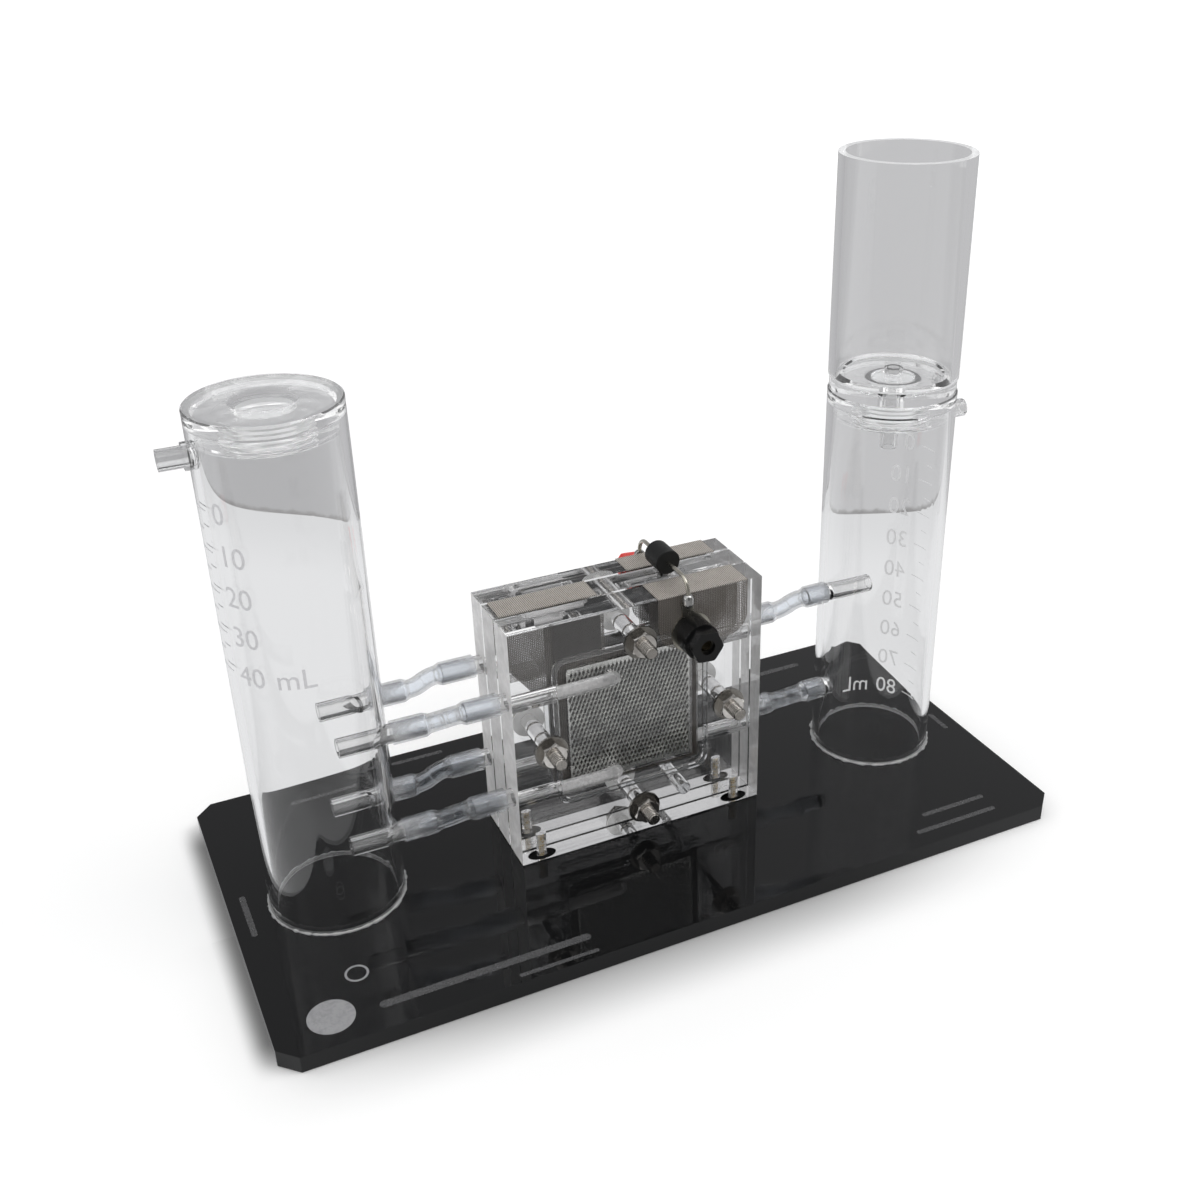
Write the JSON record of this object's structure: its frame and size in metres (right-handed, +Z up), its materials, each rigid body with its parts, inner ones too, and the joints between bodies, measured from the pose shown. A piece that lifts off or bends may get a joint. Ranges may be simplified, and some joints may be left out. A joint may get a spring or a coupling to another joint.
{
  "type": "pem electrolyzer",
  "caption": "Bench electrolyzer: a clamped clear cell stack with expanded metal, hoses to clear oxygen and hydrogen tanks, an open filling cup and plug sockets on a glossy black base.",
  "frame": {"origin": "middle of the base plate's underside", "axes": "+Z up, +X from the oxygen tank to the hydrogen tank, -Y out of the front with the black socket"},
  "size_m": [0.24, 0.118, 0.1933],
  "materials": {
    "black_acrylic": "polished",
    "clear_acrylic": "clear, polished",
    "clear_hose": "clear, soft",
    "clear_gasket": "clear, satin",
    "black_rubber": "satin",
    "black_plastic": "gloss",
    "red_plastic": "gloss",
    "steel": "turned",
    "nickel": "plated",
    "woven_steel": "fine weave",
    "expanded_titanium": "expanded metal",
    "dark_membrane": "matt",
    "brass": "bright, threaded"
  },
  "bodies": {
    "root": {"base_plate": "black_acrylic", "foot_screws": "brass", "foot_washers": "black_rubber", "oxygen_tank": "clear_acrylic", "oxygen_tank_cap": "clear_acrylic", "oxygen_outlet": "clear_acrylic", "oxygen_tank_nozzles": "clear_acrylic", "hydrogen_tank": "clear_acrylic", "hydrogen_tank_cap": "clear_acrylic", "hydrogen_outlet": "clear_acrylic", "hydrogen_tank_nozzles": "clear_acrylic", "cup_base": "clear_acrylic", "cup_tube": "clear_acrylic", "cup_seal": "black_rubber", "riser_tube": "clear_acrylic", "front_plate": "clear_acrylic", "middle_plate": "clear_acrylic", "back_plate": "clear_acrylic", "front_plate_nozzles": "clear_acrylic", "middle_plate_nozzles": "clear_acrylic", "back_plate_nozzles": "clear_acrylic", "front_flow_mesh": "expanded_titanium", "middle_front_flow_mesh": "expanded_titanium", "middle_back_flow_mesh": "expanded_titanium", "back_flow_mesh": "expanded_titanium", "front_collector": "woven_steel", "back_collector": "woven_steel", "link_strip": "woven_steel", "front_membrane": "dark_membrane", "back_membrane": "dark_membrane", "front_gasket": "clear_gasket", "back_gasket": "clear_gasket", "stack_bolts": "steel", "stack_nuts": "steel", "stack_washers": "steel", "locating_pin": "clear_acrylic", "hose_front_upper": "clear_hose", "hose_front_lower": "clear_hose", "hose_back_upper": "clear_hose", "hose_back_lower": "clear_hose", "hose_middle_upper": "clear_hose", "hose_middle_lower": "clear_hose", "black_socket": "black_plastic", "black_socket_sleeve": "nickel", "black_solder_tag": "nickel", "red_socket": "red_plastic", "red_socket_sleeve": "nickel", "red_solder_tag": "nickel", "diode_body": "black_plastic", "diode_leads": "nickel", "solder_joints": "nickel"}
  },
  "joints": []
}
